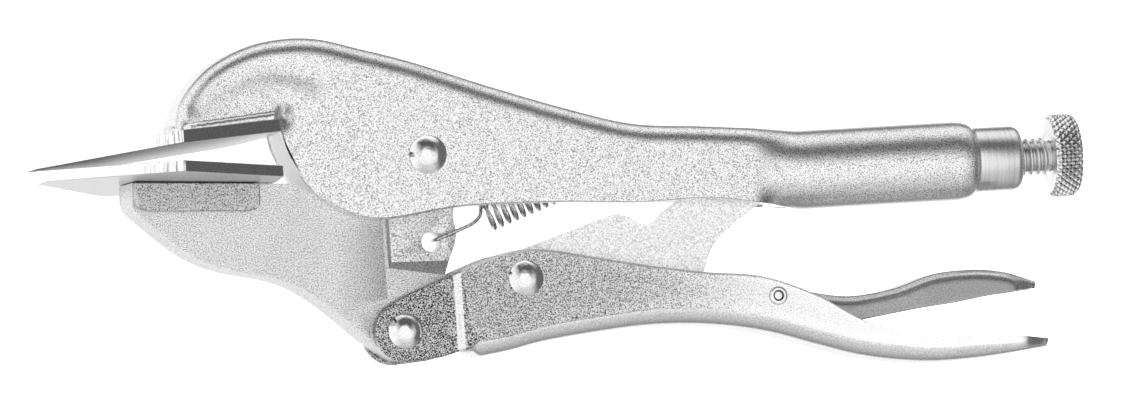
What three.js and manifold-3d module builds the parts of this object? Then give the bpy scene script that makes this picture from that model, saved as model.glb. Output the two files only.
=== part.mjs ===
// Locking sheet-metal pliers, lying on their side, millimetres.
// Frame: origin at the centre of the fixed jaw's nose face, +X from the nose to the adjusting
// knob (parallel to the screw), +Y towards the fixed handle, +Z across the jaws.
// The shape is symmetric about z = 0 except for the spring's coils and the screw thread.
import * as THREE from "three";
import Module from "manifold-3d";
import { mergeVertices } from "three/addons/utils/BufferGeometryUtils.js";

const wasm = await Module();
wasm.setup();
const { Manifold, Mesh } = wasm;

// Driving dimensions. Positions are measured from the screw axis (y) and the jaw pivot (x).
const JAW_PIVOT = [0, 6.7];
const TOGGLE_PIVOT = [17.5, -17.9];
const LEVER_PIVOT = [-6.35, -26.6];
const RELEASE_PIVOT = [66.6, -24.05];
const NOSE_X = -75.4;
const NOSE_Y = 8;

const BODY_HALF = 7.8;
const BODY_WALL = 2;
const BODY_BEND = 4;
const TUBE_R = 7.6;
const TUBE_START = 74;
const TUBE_END = 108.2;

const PLATE_WIDE = 40;
const PLATE_WIDE_X = -54;
const PLATE_NOSE = 5;
const PLATE_BACK_X = -32;
const PLATE_BACK = 25;
const PLATE_END_X = -29.6;
const UPPER_THICK = 2.4;
const LOWER_THICK = 2.1;
const UPPER_SLOPE = Math.tan(THREE.MathUtils.degToRad(4.76));
const LOWER_SLOPE = Math.tan(THREE.MathUtils.degToRad(-3.4));
const NOSE_GAP = 0.3;
const SEAT_GAP = 0.1;

const JAW_HALF = 5.4;
const WEB_HALF = 4.4;
const POCKET_HALF = 2.2;
const LEVER_HALF = 7.8;
const EAR_HALF = 6.6;
const LEVER_WALL = 1.8;
const EAR_R = 5.9;
const LINK_HALF = 2.5;

const NUT_R = 6.2;
const NUT_END = 117.6;
const SCREW_TIP = 73;
const LINK_END = 70.4;
const THREAD_R = 3.65;
const THREAD_DEPTH = 0.75;
const THREAD_PITCH = 1.41;
const KNOB_START = 123.5;
const KNOB_END = 128.8;
const KNOB_R = 8;

const SPRING_HOLE = [0.8, -9.7];
const SPRING_ANCHOR = [43.5, 5.4];
const SPRING_WIRE = 0.35;
const SPRING_R = 2.6;
const SPRING_PITCH = 1.57;

const group = new THREE.Group();
const v2 = (x, y) => new THREE.Vector2(x, y);
const v3 = (x, y, z) => new THREE.Vector3(x, y, z);

// Solids -----------------------------------------------------------------------------------

function toSolid(geometry) {
  const bare = new THREE.BufferGeometry();
  bare.setAttribute("position", geometry.getAttribute("position").clone());
  if (geometry.index) bare.setIndex(geometry.index.clone());
  const merged = mergeVertices(bare, 1e-4);
  const mesh = new Mesh({
    numProp: 3,
    vertProperties: Float32Array.from(merged.attributes.position.array),
    triVerts: Uint32Array.from(merged.index.array),
  });
  const solid = new Manifold(mesh);
  return solid;
}

function toGeometry(solid) {
  const mesh = solid.getMesh();
  const indexed = new THREE.BufferGeometry();
  indexed.setAttribute("position", new THREE.BufferAttribute(mesh.vertProperties, 3));
  indexed.setIndex(new THREE.BufferAttribute(mesh.triVerts, 1));
  const flat = indexed.toNonIndexed();
  flat.computeVertexNormals();
  return flat;
}

function add(name, solid, colour, roughness = 0.35) {
  const geometry = toGeometry(solid);
  geometry.translate(-NOSE_X, -fixedJawNoseY(), 0);
  const material = new THREE.MeshStandardMaterial({ color: colour, metalness: 1, roughness });
  const mesh = new THREE.Mesh(geometry, material);
  mesh.name = name;
  group.add(mesh);
}

// A prism between two z levels from a closed outline in x, y.
function prism(outline, low, high) {
  const shape = new THREE.Shape(outline);
  const geometry = new THREE.ExtrudeGeometry(shape, {
    depth: high - low,
    bevelEnabled: false,
    curveSegments: 12,
  });
  geometry.translate(0, 0, low);
  return toSolid(geometry);
}

// A prism between two y levels from an outline in x, z.
function slab(outline, low, high) {
  return prism(outline.map((p) => v2(p.x, -p.y)), low, high).rotate([-90, 0, 0]);
}

function disc(centre, radius, low, high, segments = 24) {
  return Manifold.cylinder(high - low, radius, radius, segments)
    .translate([centre[0], centre[1], low]);
}

function block(low, high) {
  return Manifold.cube([high[0] - low[0], high[1] - low[1], high[2] - low[2]])
    .translate(low);
}

// A body of revolution along x from a closed profile of [x, radius] points.
function turnedX(profile, segments = 32) {
  const points = profile.map(([x, r]) => v2(r, x));
  const geometry = new THREE.LatheGeometry(points, segments);
  let solid = toSolid(geometry);
  if (solid.volume() < 0) solid = toSolid(new THREE.LatheGeometry(points.reverse(), segments));
  return solid.rotate([0, 0, -90]);
}

// The same along z, about a pivot.
function turnedZ(centre, profile, segments = 24) {
  return turnedX(profile.map(([z, r]) => [z, r]), segments)
    .rotate([0, -90, 0])
    .translate([centre[0], centre[1], 0]);
}

function arc(centre, radius, from, to, steps) {
  const points = [];
  for (let i = 0; i <= steps; i++) {
    const a = THREE.MathUtils.degToRad(from + ((to - from) * i) / steps);
    points.push(v2(centre[0] + radius * Math.cos(a), centre[1] + radius * Math.sin(a)));
  }
  return points;
}

function smooth(points, steps) {
  return new THREE.SplineCurve(points.map(([x, y]) => v2(x, y))).getPoints(steps);
}

// Bent sheet -------------------------------------------------------------------------------

// The outline of a folded sheet seen along its length: [across, height] points. The web is at
// the full height, the two edges are at height 0. wrap 0 is a channel, wrap 1 a closed tube.
function foldedSheet(half, height, bend, wall, wrap = 0, tubeR = 0, leg = 1, corner = 4) {
  function path(w, h, r) {
    const points = [];
    for (let i = 0; i < leg; i++) points.push([-w, ((h - r) * i) / leg]);
    for (let i = 0; i <= corner; i++) {
      const a = Math.PI - (Math.PI / 2) * (i / corner);
      points.push([-w + r + r * Math.cos(a), h - r + r * Math.sin(a)]);
    }
    points.push([0, h]);
    const mirrored = points.slice(0, -1).reverse().map(([z, y]) => [-z, y]);
    return points.concat(mirrored);
  }
  function ring(r, count) {
    const slit = 0.15 / r;
    const points = [];
    for (let i = 0; i < count; i++) {
      const a = -Math.PI / 2 - slit - (2 * Math.PI - 2 * slit) * (i / (count - 1));
      points.push([r * Math.cos(a), tubeR + r * Math.sin(a)]);
    }
    return points;
  }
  const r = Math.min(bend, height * 0.8, half);
  const innerR = Math.max(r - wall, 0.4);
  const outer = path(half, height, r);
  const inner = path(half - wall, height - wall, Math.min(innerR, (height - wall) * 0.9));
  if (wrap > 0) {
    const blend = (from, to) => from.map(([z, y], i) => [
      z + (to[i][0] - z) * wrap,
      y + (to[i][1] - y) * wrap,
    ]);
    return blend(outer, ring(tubeR, outer.length))
      .concat(blend(inner, ring(tubeR - wall, inner.length)).reverse());
  }
  return outer.concat(inner.reverse());
}

// Joins equal-length outlines, each placed by its rib, into one closed solid.
function loft(ribs) {
  const count = ribs[0].outline.length;
  const positions = [];
  for (const rib of ribs) {
    const along = rib.web.clone().sub(rib.edge);
    const unit = along.clone().normalize();
    for (const [z, h] of rib.outline)
      positions.push(rib.edge.x + unit.x * h, rib.edge.y + unit.y * h, z);
  }
  const index = [];
  for (let k = 0; k + 1 < ribs.length; k++)
    for (let i = 0; i < count; i++) {
      const a = k * count + i;
      const b = k * count + ((i + 1) % count);
      index.push(a, b, a + count, b, b + count, a + count);
    }
  const cap = (rib, base, flip) => {
    const flat = rib.outline.map(([z, h]) => v2(z, h));
    const turned = THREE.ShapeUtils.isClockWise(flat);
    const faces = THREE.ShapeUtils.triangulateShape(turned ? flat.slice().reverse() : flat, []);
    for (const face of faces) {
      const f = face.map((i) => base + (turned ? count - 1 - i : i));
      if (flip !== turned) index.push(f[0], f[1], f[2]);
      else index.push(f[0], f[2], f[1]);
    }
  };
  cap(ribs[0], 0, false);
  cap(ribs[ribs.length - 1], (ribs.length - 1) * count, true);
  const build = (triangles) => {
    const geometry = new THREE.BufferGeometry();
    geometry.setAttribute("position", new THREE.Float32BufferAttribute(positions, 3));
    geometry.setIndex(triangles);
    return toSolid(geometry);
  };
  let solid = build(index);
  if (solid.volume() < 0) {
    for (let i = 0; i < index.length; i += 3)
      [index[i + 1], index[i + 2]] = [index[i + 2], index[i + 1]];
    solid = build(index);
  }
  return solid;
}

// Ribs of a channel whose web and edges follow two smooth lines through matching points.
function channelRibs(webLine, edgeLine, steps, form) {
  const web = new THREE.SplineCurve(webLine.map(([x, y]) => v2(x, y)));
  const edge = new THREE.SplineCurve(edgeLine.map(([x, y]) => v2(x, y)));
  const ribs = [];
  for (let i = 0; i <= steps; i++) {
    const w = web.getPoint(i / steps);
    const e = edge.getPoint(i / steps);
    const height = w.distanceTo(e);
    ribs.push({ web: w, edge: e, outline: form(w, height) });
  }
  return ribs;
}

// Jaw plates -------------------------------------------------------------------------------

function fixedJawNoseY() {
  return NOSE_Y + NOSE_GAP / 2 + UPPER_THICK / 2;
}

function upperFaceY(x) {
  return NOSE_Y + NOSE_GAP / 2 + UPPER_SLOPE * (x - NOSE_X);
}

function lowerFaceY(x) {
  return NOSE_Y - NOSE_GAP / 2 + LOWER_SLOPE * (x - NOSE_X);
}

// The plan of a jaw plate: a blunt nose that widens to the shoulders and tapers to the body.
function plateSolid(faceY, offsetLow, offsetHigh) {
  const half = [
    v2(NOSE_X, PLATE_NOSE),
    v2(PLATE_WIDE_X, PLATE_WIDE),
    v2(PLATE_BACK_X, PLATE_BACK),
    v2(PLATE_END_X, BODY_HALF),
  ];
  const plan = half.concat(half.slice().reverse().map((p) => v2(p.x, -p.y)));
  const side = [
    v2(NOSE_X - 5, faceY(NOSE_X - 5) + offsetLow),
    v2(PLATE_END_X + 5, faceY(PLATE_END_X + 5) + offsetLow),
    v2(PLATE_END_X + 5, faceY(PLATE_END_X + 5) + offsetHigh),
    v2(NOSE_X - 5, faceY(NOSE_X - 5) + offsetHigh),
  ];
  return slab(plan, -40, 60).intersect(prism(side, -PLATE_WIDE - 5, PLATE_WIDE + 5));
}

add("upper_jaw_plate", plateSolid(upperFaceY, 0, UPPER_THICK), 0xb9bcc0);

const noseChamfer = prism([
  v2(NOSE_X - 3, lowerFaceY(NOSE_X)),
  v2(NOSE_X, lowerFaceY(NOSE_X)),
  v2(NOSE_X + 2, lowerFaceY(NOSE_X) - LOWER_THICK - 0.4),
  v2(NOSE_X - 3, lowerFaceY(NOSE_X) - LOWER_THICK - 0.4),
], -PLATE_WIDE, PLATE_WIDE);
add("lower_jaw_plate", plateSolid(lowerFaceY, -LOWER_THICK, 0).subtract(noseChamfer), 0xb9bcc0);

// Fixed handle: one folded sheet, a channel over the jaw that rolls up into the handle tube ----

const plateTop = (x) => upperFaceY(x) + UPPER_THICK + SEAT_GAP;
const bodyWeb = [
  [-48.2, 14.6], [-46.6, 19.6], [-41.5, 25.2], [-34.4, 28.9], [-27, 30.4], [-19.5, 30.1],
  [-11, 27.7], [-3, 25.3], [4, 22.8], [14, 19.1], [28, 14.3], [41, 10.6], [54, 9.4],
  [64, 8.5], [TUBE_START, TUBE_R],
];
const bodyEdge = [
  [-46, plateTop(-46)], [-42.5, plateTop(-42.5)], [-38, plateTop(-38)],
  [-32.6, plateTop(-32.6)], [-28.6, plateTop(-28.6)], [-27, 8.9], [-23.6, 2.2],
  [-17.5, -2.9], [-9.5, -5.2], [6, -3.6], [25, -3.8], [41, -4.7], [54, -4.6],
  [64, -6], [TUBE_START, -TUBE_R],
];
const rollUp = (x) => THREE.MathUtils.smoothstep(x, 63, TUBE_START);
const bodyRibs = channelRibs(bodyWeb, bodyEdge, 31, (web, height) =>
  foldedSheet(BODY_HALF, height, BODY_BEND, BODY_WALL, rollUp(web.x), height / 2, 3));
for (const [x, r] of [[104.4, 7.6], [106.4, 7.25], [107.6, 6.8], [TUBE_END, 6.2]])
  bodyRibs.push({
    web: v2(x, r),
    edge: v2(x, -r),
    outline: foldedSheet(BODY_HALF, 2 * r, BODY_BEND, r - 5.55, 1, r, 3),
  });

const springTab = prism([
  v2(40.5, 9.6), v2(40.5, 5), ...arc([SPRING_ANCHOR[0], 5], 3, 180, 360, 8), v2(46.5, 9.2),
], -0.9, 0.9).subtract(disc(SPRING_ANCHOR, 1, -2, 2, 12));
const underPlate = prism([
  v2(-90, plateTop(-90) - 20), v2(-28.7, plateTop(-28.7) - 20), v2(-28.7, plateTop(-28.7)),
  v2(-90, plateTop(-90)),
], -20, 20).intersect(block([-90, 0, -20], [-28, 20, 20]));
const body = loft(bodyRibs)
  .add(springTab)
  .subtract(underPlate)
  .subtract(block([60, -12, -LINK_HALF - 0.4], [71, -1, LINK_HALF + 0.4]))
  .subtract(disc(JAW_PIVOT, 3, -20, 20));
add("upper_body", body, 0xb4b7bb);

// Threaded end of the handle, screw and knob ------------------------------------------------

add("end_nut", turnedX([
  [98, 3.8], [98, 5.4], [TUBE_END + 0.1, 5.4], [TUBE_END + 0.1, NUT_R],
  [NUT_END - 0.8, NUT_R], [NUT_END, NUT_R - 0.8], [NUT_END, 3.8], [98, 3.8],
]), 0xa9acb0);

// A threaded rod: rings whose radius follows the helix, faded out at both ends.
function threadedRod(from, to, threadFrom, threadTo) {
  const round = 16;
  const positions = [];
  const index = [];
  const stations = [from];
  const rings = Math.round(((threadTo - threadFrom) / THREAD_PITCH) * 5);
  for (let i = 0; i <= rings; i++)
    stations.push(threadFrom + ((threadTo - threadFrom) * i) / rings);
  if (to > threadTo + 0.01) stations.push(to);
  for (const x of stations)
    for (let j = 0; j < round; j++) {
      const a = (2 * Math.PI * j) / round;
      const turn = x / THREAD_PITCH - j / round;
      const wave = Math.abs(2 * (turn - Math.floor(turn)) - 1);
      const fade = x <= threadFrom || x >= threadTo ? 1 : wave;
      const r = THREAD_R - THREAD_DEPTH * fade;
      positions.push(x, r * Math.cos(a), r * Math.sin(a));
    }
  const last = stations.length - 1;
  for (let k = 0; k < last; k++)
    for (let j = 0; j < round; j++) {
      const a = k * round + j;
      const b = k * round + ((j + 1) % round);
      index.push(a, b, a + round, b, b + round, a + round);
    }
  for (let j = 1; j + 1 < round; j++) {
    index.push(0, j + 1, j);
    index.push(last * round, last * round + j, last * round + j + 1);
  }
  const build = (triangles) => {
    const geometry = new THREE.BufferGeometry();
    geometry.setAttribute("position", new THREE.Float32BufferAttribute(positions, 3));
    geometry.setIndex(triangles);
    return toSolid(geometry);
  };
  let solid = build(index);
  if (solid.volume() < 0) {
    for (let i = 0; i < index.length; i += 3)
      [index[i + 1], index[i + 2]] = [index[i + 2], index[i + 1]];
    solid = build(index);
  }
  return solid;
}

add("adjusting_screw", threadedRod(SCREW_TIP + 3.1, KNOB_START + 2.6, 111, KNOB_START - 0.6), 0x9c9fa3);
add("screw_tip", turnedX([
  [SCREW_TIP, 0], [SCREW_TIP, 1.1], [SCREW_TIP + 1.2, 2.3], [SCREW_TIP + 3, 2.9],
  [SCREW_TIP + 3, 0],
], 24), 0x9c9fa3);
add("adjusting_knob", turnedX([
  [KNOB_START, 3], [KNOB_START, KNOB_R - 0.7], [KNOB_START + 0.7, KNOB_R],
  [KNOB_END - 0.7, KNOB_R], [KNOB_END, KNOB_R - 0.7], [KNOB_END, 0],
  [KNOB_START + 2.7, 0], [KNOB_START + 2.7, 3], [KNOB_START, 3],
], 48), 0xb4b7bb);

// Moving jaw: a thick forging, thinner towards the tail, with a pad under its plate ----------

const seat = (x) => lowerFaceY(x) - LOWER_THICK - SEAT_GAP;
const jawFront = smooth([
  [-57.4, 0.2], [-55.9, -1.8], [-47.8, -8.9], [-40.6, -12.6], [-29.4, -15.5],
  [-22.2, -19.6], [-13.4, -27.4], [-10.4, -30.2],
], 24);
const jawBack = smooth([
  [-1.6, -25.2], [2.4, -16.7], [5.6, -9.5], [5.5, -4], [8.2, 3.2],
], 12);
const jawTop = smooth([
  [-6.4, 13.6], [-12, 7], [-17, 1.6], [-21, 0.3], [-24.3, 1.6], [-25.6, seat(-25.6)],
], 14);
const jawOutline = [
  v2(-57.1, seat(-57.1)),
  ...jawFront,
  ...arc(LEVER_PIVOT, 5.2, 222, 340, 10),
  ...jawBack,
  ...arc(JAW_PIVOT, 9, -20, 130, 12),
  ...jawTop,
];
const spread = (low, high) => prism(jawOutline, low, high);
const tailSide = (low, high) => block([-9.3, -60, low], [20, -4.6, high])
  .add(disc(LEVER_PIVOT, 6.7, low, high, 40));
const pocket = (low, high) => prism([
  v2(-8.6, -14.7), v2(20, -17), v2(20, 1.5), v2(-8.6, 1.5),
], low, high);
const pad = prism([
  v2(-57.1, seat(-57.1)), v2(-57.3, 0.4), v2(-55.9, -0.9), v2(-35, -2.1), v2(-33.2, -1),
  v2(-33, seat(-33)),
], -BODY_HALF, BODY_HALF);
const jaw = spread(-JAW_HALF, JAW_HALF)
  .subtract(tailSide(WEB_HALF, 20))
  .subtract(tailSide(-20, -WEB_HALF))
  .subtract(pocket(POCKET_HALF, 20))
  .subtract(pocket(-20, -POCKET_HALF))
  .add(pad)
  .subtract(disc(JAW_PIVOT, 3, -20, 20))
  .subtract(disc(LEVER_PIVOT, 2.7, -20, 20))
  .subtract(disc(SPRING_HOLE, 1.9, -20, 20));
add("lower_jaw", jaw, 0xaeb1b5);

// Rivets -----------------------------------------------------------------------------------

// A solid rivet with a domed head on each side. shoulder is a thicker middle.
function rivet(centre, shank, head, seatZ, rise, shoulder = 0, from = 0, to = 0) {
  const dome = [];
  for (let i = 0; i <= 4; i++) {
    const a = (Math.PI / 2) * (i / 4);
    dome.push([seatZ + rise * Math.sin(a), head * Math.cos(a)]);
  }
  const half = shoulder
    ? [[from, shank], [from, shoulder], [to, shoulder], [to, shank], [seatZ, shank], ...dome]
    : [[seatZ, shank], ...dome];
  const profile = half.map(([z, r]) => [-z, r]).reverse().concat(half);
  return turnedZ(centre, profile);
}

add("jaw_pivot_rivet", rivet(JAW_PIVOT, 2.9, 3.65, BODY_HALF + 0.05, 1.9), 0xc4c6c8, 0.2);
add("toggle_rivet",
  rivet(TOGGLE_PIVOT, 2.5, 3.35, LEVER_HALF + 0.05, 1.7, 3.5, LINK_HALF + 0.3, 5.7),
  0xc4c6c8, 0.2);
add("lever_rivet", rivet(LEVER_PIVOT, 2.6, 3.4, EAR_HALF + 0.05, 1.9), 0xc4c6c8, 0.2);

// A hollow rivet: a thin tube with a rolled rim on each side.
add("release_pin", turnedZ(RELEASE_PIVOT, [
  [-8.3, 0.75], [-8.3, 1.4], [-8, 1.75], [-7.85, 1.75], [-7.85, 1.3], [7.85, 1.3],
  [7.85, 1.75], [8, 1.75], [8.3, 1.4], [8.3, 0.75], [-8.3, 0.75],
], 20), 0xc4c6c8, 0.25);

// Moving handle: a folded channel with two flat ears that reach over the jaw's tail -----------

const leverWeb = [
  [6.7, -32.4], [14, -31.4], [21, -30], [31.5, -28.8], [42, -28.1], [53, -28.6], [64, -30.5],
  [74.3, -33.7], [82.2, -36.1], [90.2, -37.6], [98.2, -38.3], [108, -37.9], [119, -36.7],
];
const leverEdge = [
  [5.2, -15.6], [13.5, -12.9], [21, -12.6], [31, -14.6], [42, -16.9], [52.6, -18.7],
  [64, -20.2], [74.3, -24.3], [82.5, -29.4], [90.5, -32.6], [98.5, -33.7], [108, -33.9],
  [119.3, -35],
];
const tailWidth = (x) => LEVER_HALF - 3.2 * THREE.MathUtils.smoothstep(x, 114, 120);
const leverChannel = loft(channelRibs(leverWeb, leverEdge, 24, (web, height) =>
  foldedSheet(tailWidth(web.x), height, BODY_BEND, LEVER_WALL)));

const earOutline = [
  ...arc(LEVER_PIVOT, EAR_R, 112, 285, 18),
  v2(3.4, -31.2),
  v2(3.4, -16.4),
];
const flange = (side) => {
  const inner = EAR_HALF - LEVER_WALL;
  const ear = prism(earOutline, inner, EAR_HALF);
  const foot = block([3.2, -31, inner], [3.4, -16.4, EAR_HALF]);
  const wall = block([5.4, -28.6, LEVER_HALF - LEVER_WALL], [6.4, -15.4, LEVER_HALF]);
  const joggle = Manifold.hull([foot, wall]);
  const both = ear.add(joggle);
  return side > 0 ? both : both.mirror([0, 0, 1]);
};
const leverSolid = leverChannel
  .add(flange(1))
  .add(flange(-1))
  .subtract(disc(LEVER_PIVOT, 2.7, -20, 20))
  .subtract(disc(TOGGLE_PIVOT, 2.6, -20, 20))
  .subtract(disc(RELEASE_PIVOT, 1.4, -20, 20, 20));
add("lever", leverSolid, 0xb4b7bb);

// Toggle link: a flat plate from its rivet to the tip of the adjusting screw ------------------

const linkOutline = [
  ...arc(TOGGLE_PIVOT, 5.2, 270, 112, 12),
  v2(37.3, -6.4),
  ...arc([43.2, -5.2], 3.6, 215, 330, 8),
  v2(52, -3.4),
  v2(63, 1.2),
  ...arc([LINK_END - 3, 0], 3, 100, -75, 8),
  ...smooth([[65.5, -6], [60.3, -9.6], [56, -13.3], [53.6, -18.4]], 8),
  v2(49, -21.4),
];
add("toggle_link",
  prism(linkOutline, -LINK_HALF, LINK_HALF).subtract(disc(TOGGLE_PIVOT, 2.6, -20, 20)),
  0xa4a7ab);

// Release lever: a small folded channel, open downwards, inside the moving handle -------------

const releaseWeb = [
  [56.2, -21.2], [61, -21.7], [68, -22], [75, -23.7], [82, -24.7], [90, -23.8], [98, -21.5],
  [106, -21.1], [112, -21.9], [117.8, -23.8],
];
const releaseEdge = [
  [56.6, -24.2], [61, -26.4], [68, -27.2], [75, -28.4], [83, -29.3], [91, -28.4], [98, -27.5],
  [105, -26.8], [111.5, -25.9], [117.4, -25.4],
];
const releaseWidth = (x) => 5.3 + 1.6 * THREE.MathUtils.smoothstep(x, 82, 96)
  - 2.6 * THREE.MathUtils.smoothstep(x, 113, 119);
const release = loft(channelRibs(releaseWeb, releaseEdge, 18, (web, height) =>
  foldedSheet(releaseWidth(web.x), height, 2.6, 1.5)))
  .subtract(disc(RELEASE_PIVOT, 1.42, -20, 20, 20));
add("release_lever", release, 0xb4b7bb);

// Return spring: a close coil with a hook at each end ----------------------------------------

function springPath() {
  const from = v3(SPRING_HOLE[0], SPRING_HOLE[1], 0);
  const to = v3(SPRING_ANCHOR[0], SPRING_ANCHOR[1], 0);
  const length = from.distanceTo(to);
  const u = to.clone().sub(from).normalize();
  const side = v3(-u.y, u.x, 0);
  const at = (s, across, z) => from.clone()
    .addScaledVector(u, s)
    .addScaledVector(side, across)
    .add(v3(0, 0, z));
  const start = 12.2;
  const perTurn = 8;
  const turns = Math.floor((length - start - 9) / SPRING_PITCH);
  const hook = [
    [0.9, 0, -0.6], [0.9, 0, 1.6], [1.5, 0, 2.9], [3, 0, 3.2], [6, 0, 3.2], [8.6, 0.1, 3],
    [10.6, 0.8, 2.4], [11.6, 1.9, 1.3],
  ];
  const points = hook.map((p) => at(...p));
  for (let i = 0; i <= turns * perTurn; i++) {
    const a = (2 * Math.PI * i) / perTurn;
    const s = start + (SPRING_PITCH * i) / perTurn;
    points.push(at(s, SPRING_R * Math.cos(a), SPRING_R * Math.sin(a)));
  }
  const end = start + SPRING_PITCH * turns;
  const tail = [[end + 2, 1.2, 2.1], [length - 1.6, 0, 2.1], [length - 0.2, 0, 1.5], [length, 0, -1.2]];
  for (const p of tail) points.push(at(...p));
  return { curve: new THREE.CatmullRomCurve3(points), steps: turns * perTurn + 24 };
}
const { curve, steps } = springPath();
const wireShape = new THREE.Shape(arc([0, 0], SPRING_WIRE, 0, 288, 4));
const spring = toSolid(new THREE.ExtrudeGeometry(wireShape, {
  steps,
  extrudePath: curve,
  bevelEnabled: false,
}));
add("return_spring", spring.volume() < 0 ? spring.mirror([0, 0, 1]) : spring, 0x8f9296, 0.3);

export default group;
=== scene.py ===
"""Looks of the locking sheet-metal pliers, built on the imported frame. Metres, row frame."""

import math

import bmesh
import bpy
from mathutils import Matrix, Vector


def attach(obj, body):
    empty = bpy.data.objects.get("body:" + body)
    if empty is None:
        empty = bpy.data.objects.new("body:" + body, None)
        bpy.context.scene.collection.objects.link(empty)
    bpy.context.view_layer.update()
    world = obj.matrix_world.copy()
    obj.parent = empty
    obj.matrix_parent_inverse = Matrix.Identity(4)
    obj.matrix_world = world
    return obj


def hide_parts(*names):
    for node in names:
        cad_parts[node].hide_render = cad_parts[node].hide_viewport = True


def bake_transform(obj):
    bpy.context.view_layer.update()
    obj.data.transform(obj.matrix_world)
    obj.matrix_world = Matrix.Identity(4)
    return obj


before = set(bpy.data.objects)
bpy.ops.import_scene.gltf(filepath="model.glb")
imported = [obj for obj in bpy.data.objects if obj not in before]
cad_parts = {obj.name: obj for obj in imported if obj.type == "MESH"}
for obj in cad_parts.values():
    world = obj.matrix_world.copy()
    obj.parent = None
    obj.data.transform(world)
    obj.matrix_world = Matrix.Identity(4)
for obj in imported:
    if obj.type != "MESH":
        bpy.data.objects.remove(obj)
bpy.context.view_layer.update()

MM = 0.001
# The part's own dimensions, in mm, from the screw axis (y) and the jaw pivot (x). Row frame: +X from
# the nose to the knob, +Y towards the fixed handle, +Z across the jaws.
NOSE_X, NOSE_Y = -75.4, 9.35
JAW_PIVOT = (0, 6.7)
TOGGLE_PIVOT = (17.5, -17.9)
LEVER_PIVOT = (-6.35, -26.6)
RELEASE_PIVOT = (66.6, -24.05)
BODY_HALF, BODY_WALL, BODY_BEND = 7.8, 2.0, 4.0
TUBE_R, TUBE_START, TUBE_END = 7.6, 74, 108.2
PLATE_WIDE, PLATE_WIDE_X, PLATE_NOSE = 40, -54, 5
PLATE_BACK_X, PLATE_BACK, PLATE_END_X = -32, 25, -29.6
NOSE_MIDDLE, NOSE_GAP, SEAT_GAP = 8, 0.3, 0.1
UPPER_THICK, LOWER_THICK = 2.4, 2.1
UPPER_SLOPE, LOWER_SLOPE = math.tan(math.radians(4.76)), math.tan(math.radians(-3.4))
JAW_HALF, WEB_HALF, POCKET_HALF = 5.4, 4.4, 2.2
LEVER_HALF, EAR_HALF, LEVER_WALL, EAR_R = 7.8, 6.6, 1.8, 5.9
LINK_HALF = 2.5
NUT_R, NUT_END = 6.2, 117.6
SCREW_TIP, LINK_END = 73, 70.4
THREAD_R, THREAD_DEPTH, THREAD_PITCH = 3.6, 0.72, 1.41
SPRING_HOLE, SPRING_ANCHOR = (0.8, -9.7), (43.5, 5.4)
SPRING_WIRE, SPRING_R, SPRING_PITCH = 0.35, 2.6, 1.57
KNOB_START, KNOB_END, KNOB_R = 123.5, 128.8, 8.0


def point(x, y, z=0.0):
    """A point of the part's own dimensions, in the row frame."""
    return Vector(((x - NOSE_X) * MM, (y - NOSE_Y) * MM, z * MM))


def smoothstep(x, low, high):
    """Rises smoothly from 0 at low to 1 at high."""
    t = min(max((x - low) / (high - low), 0.0), 1.0)
    return t * t * (3 - 2 * t)


def spline(points, steps):
    """Points along a smooth curve through the given ones."""
    out = []
    last = len(points) - 1
    for i in range(steps + 1):
        at = last * i / steps
        k = min(int(at), last - 1)
        t = at - k
        p1, p2 = points[k], points[k + 1]
        p0 = points[k - 1] if k > 0 else p1
        p3 = points[k + 2] if k + 2 <= last else p2
        row = []
        for a, b, c, d in zip(p0, p1, p2, p3):
            v0, v1 = (c - a) / 2, (d - b) / 2
            cubic, square = 2 * b - 2 * c + v0 + v1, -3 * b + 3 * c - 2 * v0 - v1
            row.append(cubic * t**3 + square * t**2 + v0 * t + b)
        out.append(tuple(row))
    return out


def arc(centre, radius, start, end, steps):
    """Points along a round stretch, between two angles in degrees."""
    out = []
    for i in range(steps + 1):
        a = math.radians(start + (end - start) * i / steps)
        out.append((centre[0] + radius * math.cos(a), centre[1] + radius * math.sin(a)))
    return out


# Meshes ------------------------------------------------------------------------------------

MERGE_DISTANCE, SLIVER = 2e-6, 1e-6


def mesh_object(name, verts, faces, material, smooth_deg=35):
    mesh = bpy.data.meshes.new(name)
    mesh.from_pydata([tuple(v) for v in verts], [], faces)
    bm = bmesh.new()
    bm.from_mesh(mesh)
    bmesh.ops.remove_doubles(bm, verts=bm.verts, dist=MERGE_DISTANCE)
    bmesh.ops.dissolve_degenerate(bm, dist=SLIVER, edges=bm.edges)
    bmesh.ops.triangulate(bm, faces=[f for f in bm.faces if len(f.verts) > 4])
    bmesh.ops.recalc_face_normals(bm, faces=bm.faces)
    limit = math.radians(smooth_deg)
    for f in bm.faces:
        f.smooth = True
    for e in bm.edges:
        e.smooth = len(e.link_faces) == 2 and e.calc_face_angle(0) < limit
    bm.to_mesh(mesh)
    bm.free()
    obj = bpy.data.objects.new(name, mesh)
    bpy.context.collection.objects.link(obj)
    mesh.materials.append(material)
    return obj


def bevel(obj, width, segments, angle=30):
    """Rounds the edges that are sharper than the angle; width in mm."""
    mod = obj.modifiers.new("bevel", "BEVEL")
    mod.width = width * MM
    mod.segments = segments
    mod.limit_method = "ANGLE"
    mod.angle_limit = math.radians(angle)
    mod.harden_normals = True
    for p in obj.data.polygons:
        p.use_smooth = True
    return obj


def place(obj, body, slot, *nodes):
    """Hands a piece to its body and hides the CAD nodes that it replaces; slot is not used."""
    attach(obj, body)
    if nodes:
        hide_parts(*nodes)
    return obj


def grid_faces(rows, columns):
    """Faces between rows of points, each row closed on itself."""
    faces = []
    for k in range(rows - 1):
        for i in range(columns):
            a, b = k * columns + i, k * columns + (i + 1) % columns
            faces.append((a, b, b + columns, a + columns))
    return faces


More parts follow.
